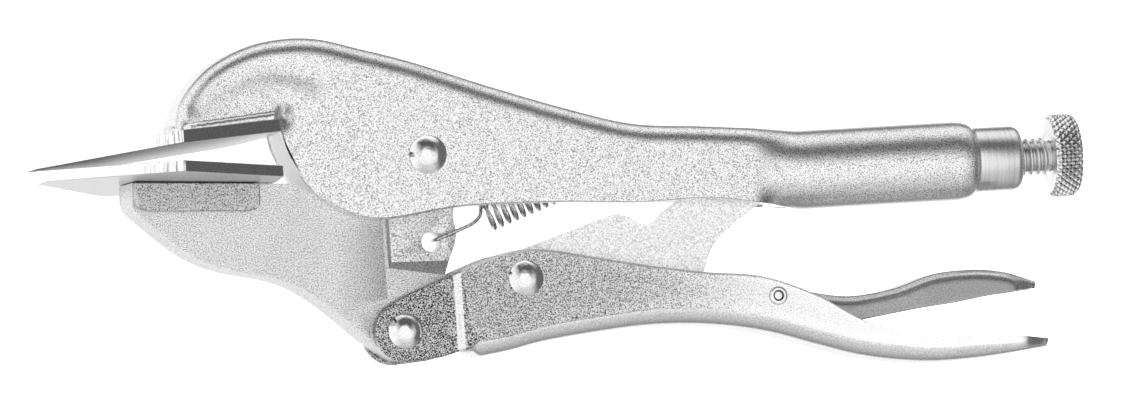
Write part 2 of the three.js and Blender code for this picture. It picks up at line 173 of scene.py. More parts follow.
def lofted(name, loops, material, smooth_deg=35):
    """One closed skin through equal loops of points."""
    columns = len(loops[0])
    verts = [p for loop in loops for p in loop]
    faces = grid_faces(len(loops), columns)
    faces.append(tuple(reversed(range(columns))))
    faces.append(tuple(range((len(loops) - 1) * columns, len(loops) * columns)))
    return mesh_object(name, verts, faces, material, smooth_deg)


def prism(name, outline, low, high, material):
    """A flat outline carried from z = low to z = high."""
    return lofted(name, [[point(x, y, z) for x, y in outline] for z in (low, high)], material)


def lathe(name, profile, centre, along, material, segments=64, smooth_deg=35):
    """profile: (distance along the axis, radius) in mm; along: "x" or "z"."""
    verts, rings = [], []
    for s, r in profile:
        ring = []
        for j in range(segments):
            a = 2 * math.pi * j / segments
            if along == "x":
                verts.append(point(s, centre[0] + r * math.cos(a), centre[1] + r * math.sin(a)))
            else:
                verts.append(point(centre[0] + r * math.cos(a), centre[1] + r * math.sin(a), s))
            ring.append(len(verts) - 1)
        rings.append(ring)
    faces = grid_faces(len(rings), segments)
    if profile[0] != profile[-1]:
        faces += [tuple(reversed(rings[0])), tuple(rings[-1])]
    return mesh_object(name, verts, faces, material, smooth_deg)


def tube(name, points, radius, material, sides=10):
    """A round wire along points (Vectors in metres), closed at both ends."""
    loops = []
    normal = None
    for i, p in enumerate(points):
        ahead = points[min(i + 1, len(points) - 1)] - points[max(i - 1, 0)]
        ahead.normalize()
        if normal is None:
            normal = ahead.orthogonal().normalized()
        normal = (normal - ahead * normal.dot(ahead)).normalized()
        side = ahead.cross(normal)
        loops.append([p + (normal * math.cos(a) + side * math.sin(a)) * radius * MM
                      for a in (2 * math.pi * j / sides for j in range(sides))])
    return lofted(name, loops, material, 60)


# Folded sheet ------------------------------------------------------------------------------

BEND_STEPS = 9
SEAM_HALF = 0.15
EDGE_BREAK = 0.45


def folded(half, height, bend, wall, wrap=0.0, tube_r=0.0, leg=6):
    """Outline of a folded sheet, as (across, height) points, with the cut edges' corners broken.

    wrap goes from 0, a channel, to 1, a tube of radius tube_r with a narrow seam at its foot.
    """

    def path(w, h, r):
        points = [(-w, (h - r) * i / leg) for i in range(leg)]
        for i in range(BEND_STEPS + 1):
            a = math.pi - (math.pi / 2) * i / BEND_STEPS
            points.append((-w + r + r * math.cos(a), h - r + r * math.sin(a)))
        points.append((0, h))
        return points + [(-z, y) for z, y in reversed(points[:-1])]

    def ring(r, count):
        slit = SEAM_HALF / r
        out = []
        for i in range(count):
            a = -math.pi / 2 - slit - (2 * math.pi - 2 * slit) * i / (count - 1)
            out.append((r * math.cos(a), tube_r + r * math.sin(a)))
        return out

    r = min(bend, height * 0.8, half)
    outer = path(half, height, r)
    inner = path(half - wall, height - wall, min(max(r - wall, 0.4), (height - wall) * 0.9))


    def rolled_up(flat, r):
        """Moves the channel's outline towards the tube's by the share wrap."""
        return [(w + (tube_w - w) * wrap, h + (tube_h - h) * wrap)
                for (w, h), (tube_w, tube_h) in zip(flat, ring(r, len(flat)))]

    if wrap > 0:
        outer, inner = rolled_up(outer, tube_r), rolled_up(inner, tube_r - wall)

    def edge(outside, inside, beyond):
        """Breaks the two corners of the sheet's cut edge."""
        outside, inside = Vector(outside), Vector(inside)
        across = inside - outside
        along = Vector(beyond) - outside
        size = min(EDGE_BREAK, across.length * 0.3, along.length * 0.45)
        across.normalize()
        along.normalize()
        return [tuple(outside + along * size), tuple(outside + across * size),
                tuple(inside - across * size), tuple(inside + along * size)]

    first = edge(outer[0], inner[0], outer[1])
    last = edge(outer[-1], inner[-1], outer[-2])
    return outer[1:-1] + last + list(reversed(inner[1:-1])) + list(reversed(first))


def rib(web, edge, outline):
    """Places an outline between its edge point (height 0) and its web point."""
    along = Vector(web) - Vector(edge)
    unit = along.normalized()
    return [point(edge[0] + unit.x * h, edge[1] + unit.y * h, z) for z, h in outline]


def paint(obj, material, wanted):
    """Gives a second material to the faces for which wanted(face) is true."""
    obj.data.materials.append(material)
    last = len(obj.data.materials) - 1
    for face in obj.data.polygons:
        if wanted(face):
            face.material_index = last


def inner_skin(obj):
    """Gives the inside of a folded sheet its pale, dull plating, with a painted glow that stands in for
    light bounced between its walls.
    """
    paint(obj, INSIDE_GLOW, lambda face: abs(face.normal.z) > 0.5 and face.normal.z * face.center.z < 0)


def burnish(obj, crease=24):
    """Gives the bends and web of a folded sheet the smooth finish that the press leaves."""
    limit = math.cos(math.radians(crease))
    paint(obj, BURNISHED, lambda face: abs(face.normal.z) < limit)


TIP_STEPS, TIP_SHARE = 7, 0.45


def rounded_tip(ribs, reach):
    """Adds ribs that close a channel's end in a blunt round tip, reach mm long."""
    middle = sum(ribs[-1], Vector()) / len(ribs[-1])
    before = sum(ribs[-2], Vector()) / len(ribs[-2])
    ahead = (middle - before).normalized()
    last = ribs[-1]
    for i in range(1, TIP_STEPS + 1):
        a = math.pi / 2 * i / TIP_STEPS
        share = TIP_SHARE + (1 - TIP_SHARE) * math.cos(a)
        ribs.append([middle + (p - middle) * share + ahead * reach * MM * math.sin(a) for p in last])
    return ribs


def channel(web_line, edge_line, steps, form):
    """Ribs of a channel between its web's line and its edges' line; form gives each rib's outline."""
    webs, edges = spline(web_line, steps), spline(edge_line, steps)
    return [rib(w, e, form(w[0], (Vector(w) - Vector(e)).length)) for w, e in zip(webs, edges)]


# Materials ---------------------------------------------------------------------------------


def grey(value):
    return (value, value, value)


class Nodes:
    """A new material and short ways to wire its nodes, all in the part's own coordinates."""

    def __init__(self, name):
        self.material = bpy.data.materials.new(name)
        self.material.use_nodes = True
        self.tree = self.material.node_tree
        self.shader = self.tree.nodes["Principled BSDF"]
        self.coords = self.tree.nodes.new("ShaderNodeTexCoord").outputs["Object"]

    def new(self, kind, **values):
        node = self.tree.nodes.new(kind)
        for key, value in values.items():
            if key in node.inputs:
                node.inputs[key].default_value = value
            else:
                setattr(node, key, value)
        return node

    def link(self, a, b):
        self.tree.links.new(a, b)

    def feed(self, name, output):
        """Wires an output into the shader's input of that name."""
        self.link(output, self.shader.inputs[name])

    def mapped(self, scale):
        node = self.new("ShaderNodeMapping")
        node.inputs["Scale"].default_value = scale
        self.link(self.coords, node.inputs["Vector"])
        return node.outputs["Vector"]

    def noise(self, scale, detail=2.0, vector=None, roughness=0.5):
        node = self.new("ShaderNodeTexNoise", Scale=scale, Detail=detail, Roughness=roughness)
        self.link(vector or self.coords, node.inputs["Vector"])
        return node.outputs["Fac"]

    def ramp(self, value, stops):
        node = self.new("ShaderNodeValToRGB")
        ramp = node.color_ramp
        while len(ramp.elements) < len(stops):
            ramp.elements.new(0.5)
        for element, (at, colour) in zip(ramp.elements, stops):
            element.position = at
            element.color = (*colour, 1)
        self.link(value, node.inputs["Fac"])
        return node.outputs["Color"]

    def spread(self, value, low, high):
        node = self.new("ShaderNodeMapRange")
        node.inputs["To Min"].default_value = low
        node.inputs["To Max"].default_value = high
        self.link(value, node.inputs["Value"])
        return node.outputs["Result"]

    def across_x(self, *stops):
        """Greys that change smoothly along the part, from (x in mm, grey) pairs."""
        parts = self.new("ShaderNodeSeparateXYZ")
        self.link(self.coords, parts.inputs[0])
        node = self.new("ShaderNodeMapRange")
        node.inputs["From Min"].default_value = point(stops[0][0], 0).x
        node.inputs["From Max"].default_value = point(stops[-1][0], 0).x
        self.link(parts.outputs["X"], node.inputs["Value"])
        start, span = stops[0][0], stops[-1][0] - stops[0][0]
        return self.ramp(node.outputs["Result"], [((x - start) / span, grey(g)) for x, g in stops])

    def bump(self, height, distance, before=None):
        """Relief, distance in mm, over the relief before it."""
        node = self.new("ShaderNodeBump", Strength=1.0, Distance=distance * MM)
        self.link(height, node.inputs["Height"])
        if before:
            self.link(before, node.inputs["Normal"])
        return node.outputs["Normal"]

    def multiply(self, a, b):
        node = self.new("ShaderNodeMix", data_type="RGBA", blend_type="MULTIPLY")
        node.inputs["Factor"].default_value = 1.0
        self.link(a, node.inputs[6])
        self.link(b, node.inputs[7])
        return node.outputs[2]


def painted_hollow_shade(nodes, low):
    """Painted shade: darker in the hollows, down to the grey low, by the surface's pointiness; raised
    edges stay a little brighter than the flats.
    """
    geometry = nodes.new("ShaderNodeNewGeometry")
    stops = [(0.44, grey(low)), (0.495, grey(0.93)), (0.53, grey(1))]
    return nodes.ramp(geometry.outputs["Pointiness"], stops)


# Where the grain's noise turns from pit to flat to crest.
PIT_AT, FLAT_AT, CREST_AT = 0.37, 0.49, 0.58
CALM_GRAIN = 0.56
WAVE_SCALE = 120


def plated(name, tone=0.82, rough=(0.2, 0.34), grain=0.035, grain_scale=4200, wave=0.12, pits=0.3,
           shade=None, fade=None, bite=0.0, metallic=1.0, glow=0.0):
    """Nickel plate over pressed or forged steel: fine pebbled grain, faint waves, painted shade in the
    hollows.

    grain and wave are depths in mm; pits is the tone of the grain's pits as a share of tone, and bite
    widens them. shade is painted shade that darkens the plate along x, and fade calms the grain along x.
    """
    nodes = Nodes(name)
    nodes.shader.inputs["Metallic"].default_value = metallic
    # glow is painted light: the plate gives off a light of its own.
    nodes.shader.inputs["Emission Color"].default_value = (1, 1, 1, 1)
    nodes.shader.inputs["Emission Strength"].default_value = glow
    fine = nodes.noise(grain_scale, 3.0, roughness=0.6)
    if fade:
        calm = nodes.new("ShaderNodeMix")
        calm.inputs[3].default_value = CALM_GRAIN
        nodes.link(nodes.across_x(*fade), calm.inputs["Factor"])
        nodes.link(fine, calm.inputs[2])
        fine = calm.outputs[0]
    broad = nodes.noise(WAVE_SCALE, 3.0)
    pit, flat, crest = (grey(min(tone * share, 1)) for share in (pits, 0.92, 1.18))
    colour = nodes.ramp(fine, [(PIT_AT + bite, pit), (FLAT_AT + bite / 3, flat), (CREST_AT, crest)])
    # Painted shade in the hollows.
    colour = nodes.multiply(colour, painted_hollow_shade(nodes, 0.6))
    if shade:
        colour = nodes.multiply(colour, nodes.across_x(*shade))
    nodes.feed("Base Color", colour)
    nodes.feed("Roughness", nodes.spread(nodes.noise(grain_scale * 0.7), *rough))
    nodes.feed("Normal", nodes.bump(fine, grain, nodes.bump(broad, wave)))
    return nodes.material


def sheared(name):
    """A cut plate edge: bright, torn in lines across the thickness towards its wide corner."""
    nodes = Nodes(name)
    nodes.shader.inputs["Metallic"].default_value = 1.0
    lines = nodes.noise(1.0, 3.0, nodes.mapped((1700, 150, 1700)), 0.65)
    torn = nodes.ramp(lines, [(0.4, (0.12, 0.12, 0.13)), (0.5, grey(0.85)), (0.58, grey(1))])
    share = nodes.across_x((NOSE_X, 0.0), (-64, 0.12), (-58, 0.35), (PLATE_WIDE_X, 1.0))
    mix = nodes.new("ShaderNodeMix", data_type="RGBA")
    mix.inputs[6].default_value = (1, 1, 1, 1)
    nodes.link(share, mix.inputs["Factor"])
    nodes.link(torn, mix.inputs[7])
    nodes.feed("Base Color", mix.outputs[2])
    nodes.feed("Roughness", nodes.spread(lines, 0.45, 0.25))
    nodes.feed("Normal", nodes.bump(lines, 0.05))
    return nodes.material


def turned(name, tone=0.72, hollow=0.45):
    """Plated turned steel: rings round the x axis over a fine grain, with painted shade in its hollows."""
    nodes = Nodes(name)
    nodes.shader.inputs["Metallic"].default_value = 1.0
    rings = nodes.noise(1.0, 2.0, nodes.mapped((2400, 60, 60)))
    fine = nodes.noise(2600)
    colour = nodes.ramp(rings, [(0.3, grey(tone * 0.82)), (0.7, grey(tone * 1.1))])
    nodes.feed("Base Color", nodes.multiply(colour, painted_hollow_shade(nodes, hollow)))
    nodes.feed("Roughness", nodes.spread(fine, 0.2, 0.36))
    nodes.feed("Normal", nodes.bump(fine, 0.02, nodes.bump(rings, 0.02)))
    return nodes.material


def polished(name):
    """A headed rivet: near mirror, with shallow dents and hairlines."""
    nodes = Nodes(name)
    nodes.shader.inputs["Metallic"].default_value = 1.0
    dents = nodes.noise(700, 1.0)
    fine = nodes.noise(3800)
    nodes.feed("Base Color", nodes.ramp(fine, [(0.35, (0.7, 0.7, 0.71)), (0.6, grey(0.84))]))
    nodes.feed("Roughness", nodes.spread(fine, 0.05, 0.14))
    nodes.feed("Normal", nodes.bump(fine, 0.002, nodes.bump(dents, 0.09)))
    return nodes.material


SHEET = plated("satin_sheet", tone=0.88, grain=0.04, grain_scale=5200, pits=0.2)
# Painted shade: the handle's side is darker near its pivot and lighter towards its tail.
HANDLE = plated("satin_handle", tone=0.84, rough=(0.16, 0.3), grain=0.09, pits=0.03, bite=0.03,
                shade=((5, 0.72), (35, 0.76), (65, 0.95), (95, 1)),
                fade=((5, 0.0), (42, 0.1), (62, 0.55), (88, 0.8)))
BURNISHED = plated("burnished_bend", tone=0.8, rough=(0.24, 0.32), grain=0.006, wave=0.05, pits=0.75)
EAR = plated("rolled_ear", tone=0.66, rough=(0.16, 0.3), grain=0.16, pits=0.01, bite=0.07)
FORGED = plated("satin_forging", tone=0.8, rough=(0.26, 0.4), grain=0.06, grain_scale=5200,
                wave=0.15, pits=0.1)
PAD = plated("forged_pad", tone=0.6, rough=(0.26, 0.4), grain=0.07, wave=0.1, pits=0.1)
PLATE = plated("ground_plate", tone=0.52, rough=(0.25, 0.35), grain=0.008, wave=0.03, pits=0.8)
# Painted shade: the upper clamping face darkens towards the nose, where the lower plate is close under it.
JAW_FACE_SHADE = plated("jaw_face_painted_shade", tone=0.5, grain=0.01, pits=0.8,
                  shade=((NOSE_X, 0.03), (-60, 0.12), (-45, 0.4), (-27, 1.0)))
LINK = plated("satin_link", tone=0.82, rough=(0.3, 0.42), grain=0.02, pits=0.6)
WIRE = plated("drawn_wire", tone=0.55, rough=(0.22, 0.34), grain=0.01)
# Inside a channel a faint glow stands in for the light that bounces between its walls.
INSIDE_GLOW = plated("dull_inside_glow", tone=1.0, rough=(0.5, 0.65), grain=0.01, pits=0.9, metallic=0.0, glow=0.22)
TONGUE = plated("tongue_side", tone=0.36, rough=(0.3, 0.4), grain=0.012, pits=0.7)
PIN_BORE_SHADE = plated("pin_bore_shade", tone=0.12, grain=0.01)
EDGE = sheared("sheared_edge")
TURNED = turned("turned_steel")
# Painted shade, near black, in the knurl's grooves.
KNURLED = turned("knurled_steel", 0.85, 0.03)
DOME = polished("polished_rivet")

# Jaw plates --------------------------------------------------------------------------------

LOWER_CHAMFER = 1.9
CHAMFER_LENGTH = 0.5
FLAT = 0.8


def upper_face(x):
    """Height of the upper plate's clamping face."""
    return NOSE_MIDDLE + NOSE_GAP / 2 + UPPER_SLOPE * (x - NOSE_X)


def lower_face(x):
    """Height of the lower plate's clamping face."""
    return NOSE_MIDDLE - NOSE_GAP / 2 + LOWER_SLOPE * (x - NOSE_X)


def jaw_plate(name, face, low, high, body, node, chamfer):
    """A plate between two heights off its clamping face; chamfer leans the nose back at its foot."""
    half = [(NOSE_X, PLATE_NOSE), (PLATE_WIDE_X, PLATE_WIDE), (PLATE_BACK_X, PLATE_BACK),
            (PLATE_END_X, BODY_HALF)]
    plan = half + [(x, -z) for x, z in reversed(half)]
    foot = []
    for x, z in plan:
        back = chamfer * (1 - smoothstep(x, NOSE_X, NOSE_X + CHAMFER_LENGTH))
        foot.append(point(x + back, face(x) + low, z))
    top = [point(x, face(x) + high, z) for x, z in plan]
    obj = lofted(name, [foot, top], PLATE)
    front = point(PLATE_WIDE_X, 0).x
    paint(obj, EDGE, lambda side: abs(side.normal.y) <= FLAT and side.center.x < front)
    # The upper plate's clamping face gets painted shade, darker towards the nose.
    if name == "upper_plate":
        paint(obj, JAW_FACE_SHADE, lambda side: side.normal.y < -FLAT)
    bevel(obj, 0.18, 2)
    return place(obj, body, "nickel_plate", node)


jaw_plate("upper_plate", upper_face, 0, UPPER_THICK, "fixed_handle", "upper_jaw_plate", 0)
jaw_plate("lower_plate", lower_face, -LOWER_THICK, 0, "moving_jaw", "lower_jaw_plate", LOWER_CHAMFER)

# Fixed handle ------------------------------------------------------------------------------


BODY_LEG, ROLL_START = 26, 63
BODY_RIBS = 210
TUBE_BORE = 5.55
SHOULDER, SHOULDER_DROP, SHOULDER_STEPS = 4, 1.3, 8
SIDE_Z = 5


def plate_top(x):
    """Height of the shell's edge over the upper plate."""
    return upper_face(x) + UPPER_THICK + SEAT_GAP


# Points (x, y) along the shell's web and along its cut edge, from the nose to the tube.
BODY_WEB = [
    (-48.2, 14.6), (-46.6, 19.6), (-41.5, 25.2), (-34.4, 28.87), (-27, 30.35), (-19.5, 30.06),
    (-11, 27.7), (-3, 25.3), (4, 22.8), (14, 19.1), (28, 14.3), (41, 10.6), (54, 9.4),
    (64, 8.5), (TUBE_START, TUBE_R),
]
BODY_EDGE = [(x, plate_top(x)) for x in (-46, -42.5, -38, -32.6, -28.9)] + [
    (-27, 8.9), (-23.6, 2.2), (-17.5, -2.9), (-9.5, -5.2), (6, -3.6), (25, -3.8), (41, -4.7),
    (54, -4.6), (64, -6), (TUBE_START, -TUBE_R),
]


def body_form(x, height):
    """The shell's section: a channel that rolls up into the tube."""
    wrap = smoothstep(x, ROLL_START, TUBE_START)
    return folded(BODY_HALF, height, BODY_BEND, BODY_WALL, wrap, height / 2, BODY_LEG)


def press_dimple(obj, at, radius, depth):
    """Sinks a small oval in both sides of the shell, where the nose meets the throat."""
    tall, reach = 1.4, 2.5
    for v in obj.data.vertices:
        d = math.hypot(v.co.x - at.x, (v.co.y - at.y) / tall) / (radius * MM)
        if d < reach:
            v.co.z -= math.copysign(depth * MM * math.exp(-d * d), v.co.z)


def sweep_nose(obj, route, width, depth):
    """Draws a shallow curved hollow along both sides of the nose, inside its top edge."""
    line = [Vector(p) for p in spline(route, 60)]
    for v in obj.data.vertices:
        x, y = v.co.x / MM + NOSE_X, v.co.y / MM + NOSE_Y
        if x > JAW_PIVOT[0] or abs(v.co.z) < SIDE_Z * MM:
            continue
        d = min(math.hypot(x - q.x, y - q.y) for q in line)
        v.co.z -= math.copysign(depth * MM * math.exp(-((d / width) ** 2)), v.co.z)


def tube_stations():
    """(x, radius) along the tube, ending in a rounded shoulder."""
    start = TUBE_END - SHOULDER
    stations = [(80, TUBE_R), (92, TUBE_R), (start, TUBE_R)]
    for i in range(1, SHOULDER_STEPS + 1):
        a = math.pi / 2 * i / SHOULDER_STEPS
        stations.append((start + SHOULDER * math.sin(a), TUBE_R - SHOULDER_DROP * (1 - math.cos(a))))
    return stations


def body_ribs():
    ribs = channel(BODY_WEB, BODY_EDGE, BODY_RIBS, body_form)
    for x, r in tube_stations():
        section = folded(BODY_HALF, 2 * r, BODY_BEND, r - TUBE_BORE, 1, r, BODY_LEG)
        ribs.append(rib((x, r), (x, -r), section))
    return ribs


body = lofted("handle_shell", body_ribs(), SHEET)
press_dimple(body, point(-27.2, 15.6), 1.5, 1.3)
sweep_nose(body, [(-44, 18.5), (-40, 21.3), (-34, 23.7), (-28, 24.2), (-21, 22.4)], 2.2, 0.45)
burnish(body, 62)
inner_skin(body)
place(body, "fixed_handle", "nickel_sheet", "upper_body")

WELD_R, WELD_RISE, WELD_SINK, WELD_RIPPLE = 1.3, 0.8, 0.15, 0.05


def seat_weld():
    """The fillet that joins the shell's edge to the upper plate, down both sides and round the nose."""
    side = [(x, BODY_HALF - WELD_SINK) for x in (-29.6, -33, -36, -39, -42, -44.4)]
    corner = [(-45.8, BODY_HALF - 0.9), (-47, BODY_HALF - 2.4), (-47.7, BODY_HALF - 4.4)]
    near = side + corner
    route = near + [(-47.8, 0)] + [(x, -z) for x, z in reversed(near)]
    points = []
    for i, (x, z) in enumerate(spline(route, 260)):
        ripple = WELD_RIPPLE * math.sin(i * 1.7) + WELD_RIPPLE * math.sin(i * 0.63 + 1)
        points.append(point(x, plate_top(x) + WELD_RISE + ripple, z))
    return tube("seat_weld", points, WELD_R, BURNISHED, 16)


place(seat_weld(), "fixed_handle", "nickel_sheet")

# End nut, screw and knob -------------------------------------------------------------------

NUT_BORE, NUT_SPIGOT, NUT_START = 3.75, 5.4, 98
SCREW_AXIS = (0, 0)
nut = lathe("threaded_collar", [
    (NUT_START, NUT_BORE), (NUT_START, NUT_SPIGOT), (TUBE_END + 0.1, NUT_SPIGOT),
    (TUBE_END + 0.1, NUT_R - 0.5), (TUBE_END + 0.6, NUT_R), (NUT_END - 1.4, NUT_R),
    (NUT_END - 0.5, NUT_R - 0.35), (NUT_END - 0.1, NUT_R - 0.8), (NUT_END, NUT_R - 1.3),
    (NUT_END, 4.4), (NUT_END - 0.6, NUT_BORE), (NUT_START, NUT_BORE),
], SCREW_AXIS, "x", TURNED)
place(nut, "fixed_handle", "nickel_turned", "end_nut")

THREAD_START, THREAD_FULL = 110, 111.5
ROOT, CREST = 0.12, 0.88


def thread_radius(x, turn):
    """Radius of a rolled thread: narrow crests, rounded roots, run out at both ends."""
    phase = (x / THREAD_PITCH - turn) % 1.0
    depth = smoothstep(abs(2 * phase - 1), ROOT, CREST)
    run_out = 1 - smoothstep(x, KNOB_START - 1.0, KNOB_START - 0.3)
    fade = smoothstep(x, THREAD_START, THREAD_FULL) * run_out
    return THREAD_R - THREAD_DEPTH * (1 - (1 - depth) * fade)


def threaded_rod():
    segments, rings_per_turn = 40, 14
    stations = [SCREW_TIP + 3.1, 90, 109.5]
    end = KNOB_START - 0.1
    rings = int((end - THREAD_START) / THREAD_PITCH * rings_per_turn)
    stations += [THREAD_START + (end - THREAD_START) * i / rings for i in range(rings + 1)]
    stations.append(KNOB_START + 2.4)
    loops = []
    for x in stations:
        loop = []
        for j in range(segments):
            a = 2 * math.pi * j / segments
            r = thread_radius(x, j / segments)
            loop.append(point(x, r * math.cos(a), r * math.sin(a)))
        loops.append(loop)
    return lofted("screw_rod", loops, TURNED, 50)


place(threaded_rod(), "screw", "nickel_turned", "adjusting_screw")
tip = lathe("screw_point", [
    (SCREW_TIP, 0.4), (SCREW_TIP + 0.1, 0.9), (SCREW_TIP + 0.4, 1.4), (SCREW_TIP + 1.2, 2.2),
    (SCREW_TIP + 2.4, 2.75), (SCREW_TIP + 3, 2.85),
], SCREW_AXIS, "x", TURNED, 40)
place(tip, "screw_carriage", "nickel_turned", "screw_tip")


def knurled_knob():
    """Diamond knurl: two sets of crossing helical grooves, chamfered rim, dished face."""
    segments, rings = 288, 26
    grooves, groove_slant, cut = 34, 7 / 11, 0.62
    chamfer, bore = 0.75, 3.0
    loops = []

    def ring(x, radius, deep):
        slant = (x - KNOB_START) * groove_slant
        loop = []
        for j in range(segments):
            turn = j / segments
            left = abs(2 * ((grooves * turn + slant) % 1.0) - 1)
            right = abs(2 * ((grooves * turn - slant) % 1.0) - 1)
            r = radius - deep * smoothstep(1 - min(left, right), 0.15, 0.85)
            a = 2 * math.pi * turn
            loop.append(point(x, r * math.cos(a), r * math.sin(a)))
        loops.append(loop)

    for x, r in ((KNOB_START + 2.65, bore), (KNOB_START + 0.35, bore), (KNOB_START + 0.35, 4.2),
                 (KNOB_START + 0.05, 4.8), (KNOB_START, 5.4), (KNOB_START, KNOB_R - chamfer - 0.15)):
        ring(x, r, 0)
    for i in range(rings + 1):
        x = KNOB_START + (KNOB_END - KNOB_START) * i / rings
        inset = max(chamfer - (x - KNOB_START), chamfer - (KNOB_END - x), 0)
        ring(x, KNOB_R - inset, cut * (1 - 0.8 * inset / chamfer))
    for x, r in ((KNOB_END, KNOB_R - chamfer - 0.2), (KNOB_END, 0.6)):
        ring(x, r, 0)
    return lofted("knurled_knob", loops, KNURLED, 28)


place(knurled_knob(), "screw", "nickel_turned", "adjusting_knob")

# Moving jaw --------------------------------------------------------------------------------


def seat(x):
    """Height of the forging's seat under the lower plate."""
    return lower_face(x) - LOWER_THICK - SEAT_GAP


jaw_outline = [(-57.1, seat(-57.1))]
jaw_outline += spline([
    (-57.4, 0.2), (-55.9, -1.8), (-47.8, -8.9), (-40.6, -12.6), (-29.4, -15.5),
    (-22.2, -19.6), (-13.4, -27.4), (-10.4, -30.2),
], 60)
jaw_outline += arc(LEVER_PIVOT, 5.2, 222, 340, 24)
jaw_outline += spline([(-1.6, -25.2), (2.4, -16.7), (5.6, -9.5), (5.5, -4), (8.2, 3.2)], 30)
jaw_outline += arc(JAW_PIVOT, 9, -20, 130, 30)
jaw_outline += spline([
    (-6.4, 13.6), (-12, 7), (-17, 1.6), (-21, 0.3), (-24.3, 1.6), (-25.6, seat(-25.6)),
], 30)


def settle(obj):
    """Applies an object's modifiers to its mesh."""
    graph = bpy.context.evaluated_depsgraph_get()
    mesh = bpy.data.meshes.new_from_object(obj.evaluated_get(graph))
    obj.modifiers.clear()
    old = obj.data
    obj.data = mesh
    bpy.data.meshes.remove(old)


def cut(obj, cutter):
    """Takes the cutter out of an object."""
    mod = obj.modifiers.new("cut", "BOOLEAN")
    mod.operation = "DIFFERENCE"
    mod.solver = "EXACT"
    mod.object = cutter
    settle(obj)
    bpy.data.objects.remove(cutter)


def pocket(side):
    """A tapered block that sinks the tail's side: small at its floor, wider at the surface."""
    floor = [(-7.2, -13.2), (12, -13.6), (12, 1.5), (-7.2, 1.5)]
    mouth = [(-9, -15.1), (13, -19), (13, 2.5), (-9, 2.5)]
    low = [point(x, y, side * POCKET_HALF) for x, y in floor]
    high = [point(x, y, side * (JAW_HALF + 0.4)) for x, y in mouth]
    return lofted("pocket", [low, high], FORGED)


def tail_side(side):
    """The step that thins the tail to fit between the handle's ears."""
    low, high = sorted((side * WEB_HALF, side * (JAW_HALF + 1)))
    outline = arc(LEVER_PIVOT, 6.7, 115, 235, 24) + [(-3, -34), (9, -34), (9, -4.6), (-9.2, -4.6)]
    return prism("tail_side", outline, low, high, FORGED)


jaw = prism("jaw_forging", jaw_outline, -JAW_HALF, JAW_HALF, FORGED)
bevel(jaw, 4.2, 8, 60)
settle(jaw)
for side in (1, -1):
    cut(jaw, tail_side(side))
    cut(jaw, pocket(side))
for centre, r in ((SPRING_HOLE, 1.9), (LEVER_PIVOT, 2.7), (JAW_PIVOT, 3)):
    cut(jaw, lathe("hole", [(-20, r), (20, r)], centre, "z", FORGED, 40))
bevel(jaw, 0.3, 2, 28)
place(jaw, "moving_jaw", "nickel_forging", "lower_jaw")

pad = prism("jaw_pad", [
    (-57.0, seat(-57.0)), (-57.2, 1.6), (-57, 0.4), (-56.2, -0.6), (-54.6, -1.1),
    (-35.4, -2.1), (-34, -1.9), (-33.2, -1.1), (-33, 0), (-33, seat(-33)),
], -BODY_HALF, BODY_HALF, PAD)
bevel(pad, 0.7, 4, 40)
place(pad, "moving_jaw", "nickel_forging")

# Rivets ------------------------------------------------------------------------------------


RIM, DOME_STEPS = 0.25, 14


def rivet(name, centre, shank, head, seat_z, rise, body, node, shoulder=None):
    """A shank with a domed head on each side; shoulder is (radius, from z, to z)."""
    cap = rise - RIM
    ball = (head * head + cap * cap) / (2 * cap)
    dome = []
    for i in range(DOME_STEPS + 1):
        r = head * math.cos(math.pi / 2 * i / DOME_STEPS)
        dome.append((seat_z + rise - ball + math.sqrt(ball * ball - r * r), max(r, 0.02)))
    half = [(seat_z, shank), (seat_z, head - 0.12), (seat_z + 0.1, head)] + dome
    if shoulder:
        r, start, end = shoulder
        half = [(start, shank), (start, r), (end, r), (end, shank)] + half
    profile = [(-s, r) for s, r in reversed(half)] + half
    place(lathe(name, profile, centre, "z", DOME, 64, 50), body, "polished_rivet", node)


rivet("jaw_rivet", JAW_PIVOT, 2.9, 3.65, BODY_HALF + 0.05, 1.9, "fixed_handle", "jaw_pivot_rivet")
rivet("link_rivet", TOGGLE_PIVOT, 2.5, 3.35, LEVER_HALF + 0.05, 1.7, "moving_handle", "toggle_rivet",
      (3.5, LINK_HALF + 0.3, 5.7))
rivet("ear_rivet", LEVER_PIVOT, 2.6, 3.4, EAR_HALF + 0.05, 1.9, "moving_handle", "lever_rivet")

PIN_BORE_R, PIN_SHANK_R, PIN_SEAT_Z = 0.75, 1.3, 7.85
ROLL_R, ROLL_RISE, ROLL_STEPS = 0.5, 0.3, 8


def hollow_pin():
    """A tube with both ends rolled outwards over the handle's sides, with painted shade inside its bore.
    """
    middle = PIN_BORE_R + ROLL_R
    half = [(PIN_SEAT_Z, PIN_SHANK_R), (PIN_SEAT_Z, middle + ROLL_R - 0.01)]
    for i in range(ROLL_STEPS + 1):
        a = math.pi * i / ROLL_STEPS
        half.append((PIN_SEAT_Z + 0.15 + ROLL_RISE * math.sin(a), middle + ROLL_R * math.cos(a)))
    profile = [(-s, r) for s, r in reversed(half)] + half + [(-half[-1][0], half[-1][1])]
    obj = lathe("hollow_pin", profile, RELEASE_PIVOT, "z", DOME, 40, 50)
    axis = point(*RELEASE_PIVOT)

    def in_shadow(face):
        out = Vector((face.center.x, face.center.y, 0)) - axis
        return out.length < 1.02 * MM or face.normal.dot(out.normalized()) > 0.8

    # Painted shade, near black, in the bore and on the faces that look straight out from the axis.
    paint(obj, PIN_BORE_SHADE, in_shadow)
    return obj


pin = hollow_pin()
place(pin, "moving_handle", "polished_rivet", "release_pin")

# Moving handle -----------------------------------------------------------------------------

LEVER_STEP, STEP_END = 1.3, 8.4
LEVER_RIBS = 150
